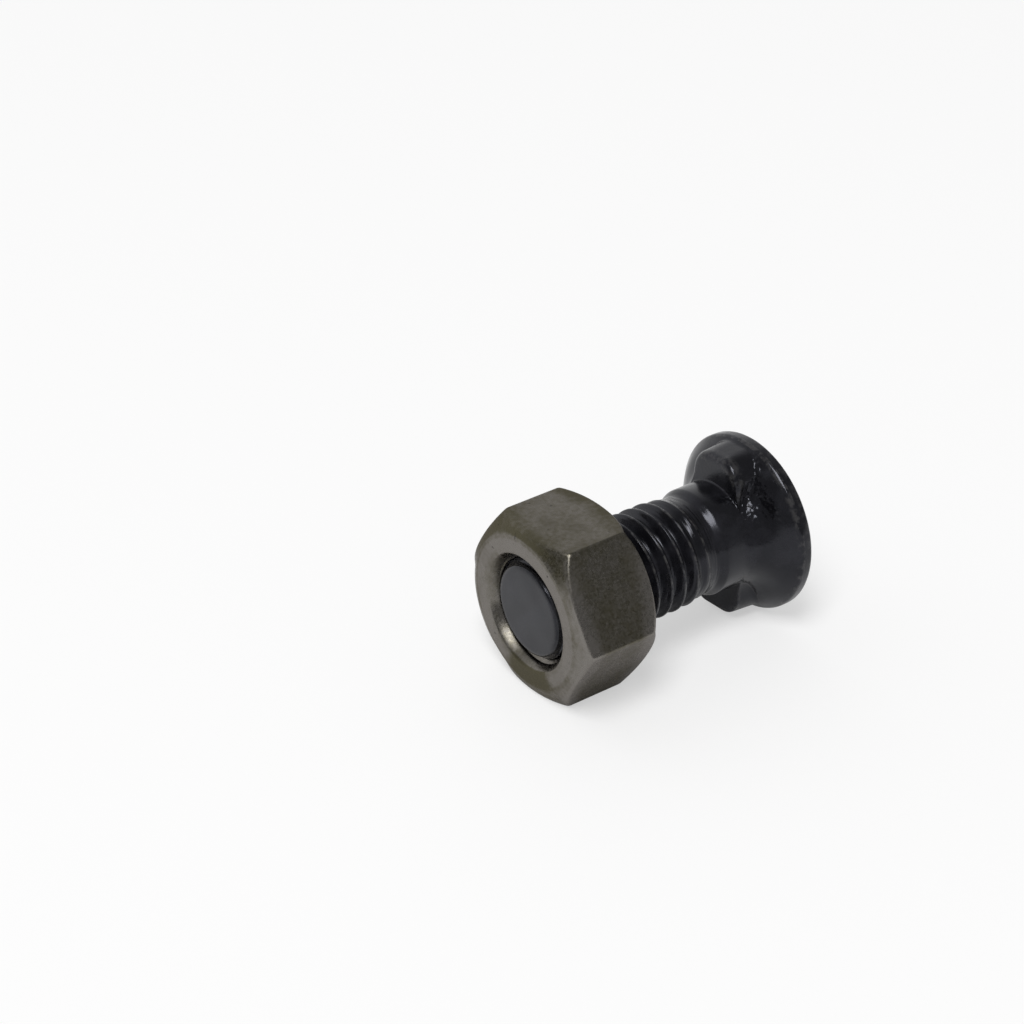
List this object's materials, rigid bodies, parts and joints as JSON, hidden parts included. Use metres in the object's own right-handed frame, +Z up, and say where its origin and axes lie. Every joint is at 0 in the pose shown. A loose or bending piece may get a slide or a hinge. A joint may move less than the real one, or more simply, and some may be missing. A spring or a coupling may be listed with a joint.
{
  "type": "plow bolt",
  "caption": "Countersunk plow bolt with two anti-turn lugs under a flat head, a short plain neck and a threaded shank that carries a chamfered hex nut.",
  "frame": {"origin": "middle of the box round bolt and nut, on the surface that they lie on", "axes": "+X from the nut towards the head, along the bolt as it lies; +Z up; lugs point up and down"},
  "size_m": [0.0308, 0.0218, 0.0198],
  "materials": {
    "black_oxide": "oiled black oxide on forged steel, satin to glossy",
    "oiled_steel": "oiled plain steel, dull grey with olive and brown stains"
  },
  "bodies": {
    "bolt": {"plow_bolt": "black_oxide"},
    "nut": {"hex_nut": "oiled_steel"}
  },
  "joints": [
    {"name": "nut_travel", "type": "slide", "parent": "bolt", "child": "nut", "axis": [0.9998, 0, 0.0176], "range_m": [-0.01225, 0.007]}
  ]
}
